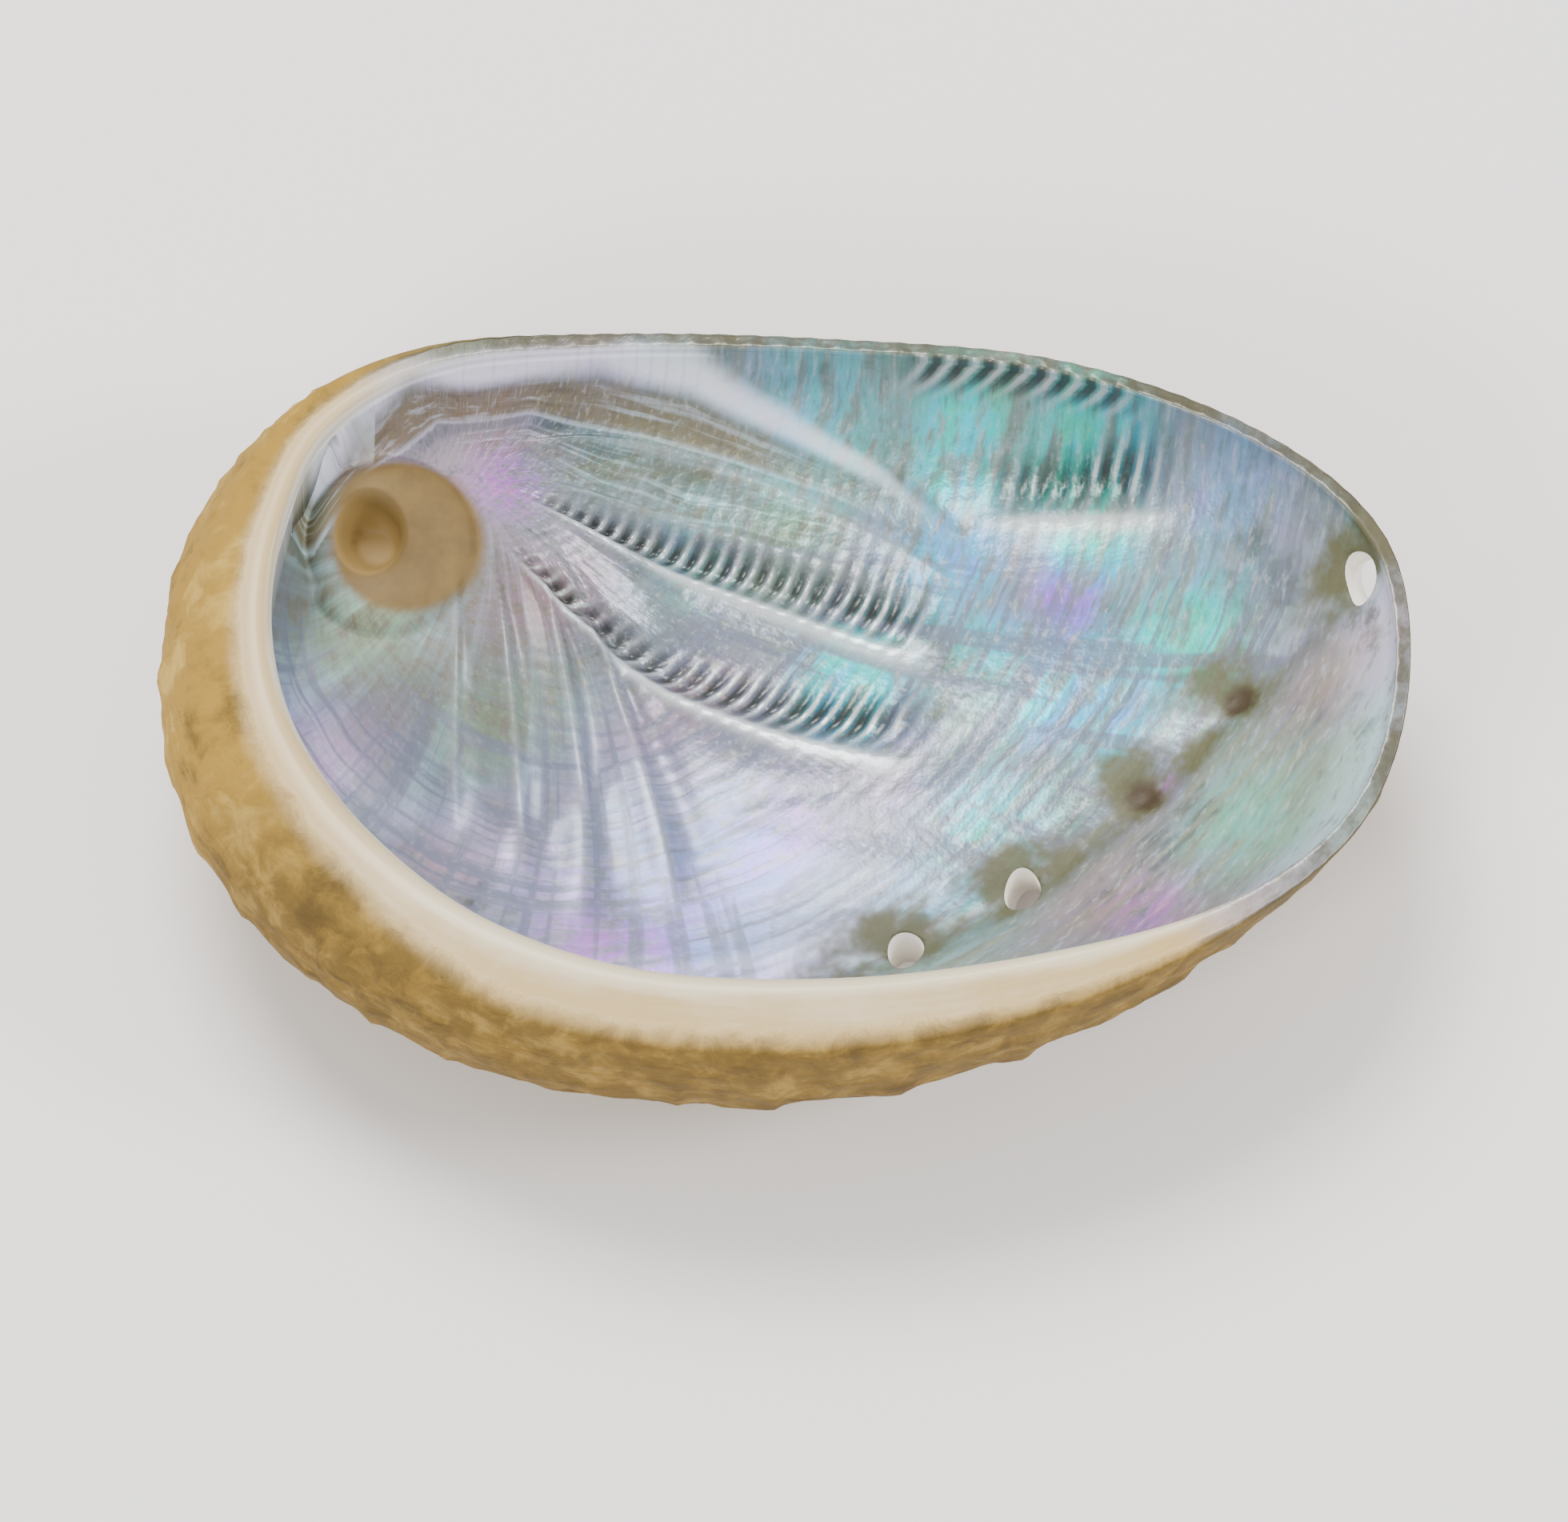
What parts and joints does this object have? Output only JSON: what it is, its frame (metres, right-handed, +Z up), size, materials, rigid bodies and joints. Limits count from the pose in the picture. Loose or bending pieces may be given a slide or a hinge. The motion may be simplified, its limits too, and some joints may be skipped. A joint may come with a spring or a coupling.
{
  "type": "lamellose ormer shell",
  "caption": "Small ormer shell lying on its back: ear-shaped nacre bowl with fan folds, broad inner lip, spire well and a row of pores",
  "frame": {"origin": "middle of the bounding box in plan, at the lowest point of the back", "axes": "+Z up out of the mouth, +X from the spire end to the front end, -Y on the side of the broad inner lip, +Y on the side of the thin outer lip"},
  "size_m": [0.0444, 0.0292, 0.0104],
  "materials": {
    "shell": "nacre inside, pearly cream lip, ochre crusted outside"
  },
  "bodies": {
    "root": {"shell": "shell"}
  },
  "joints": []
}
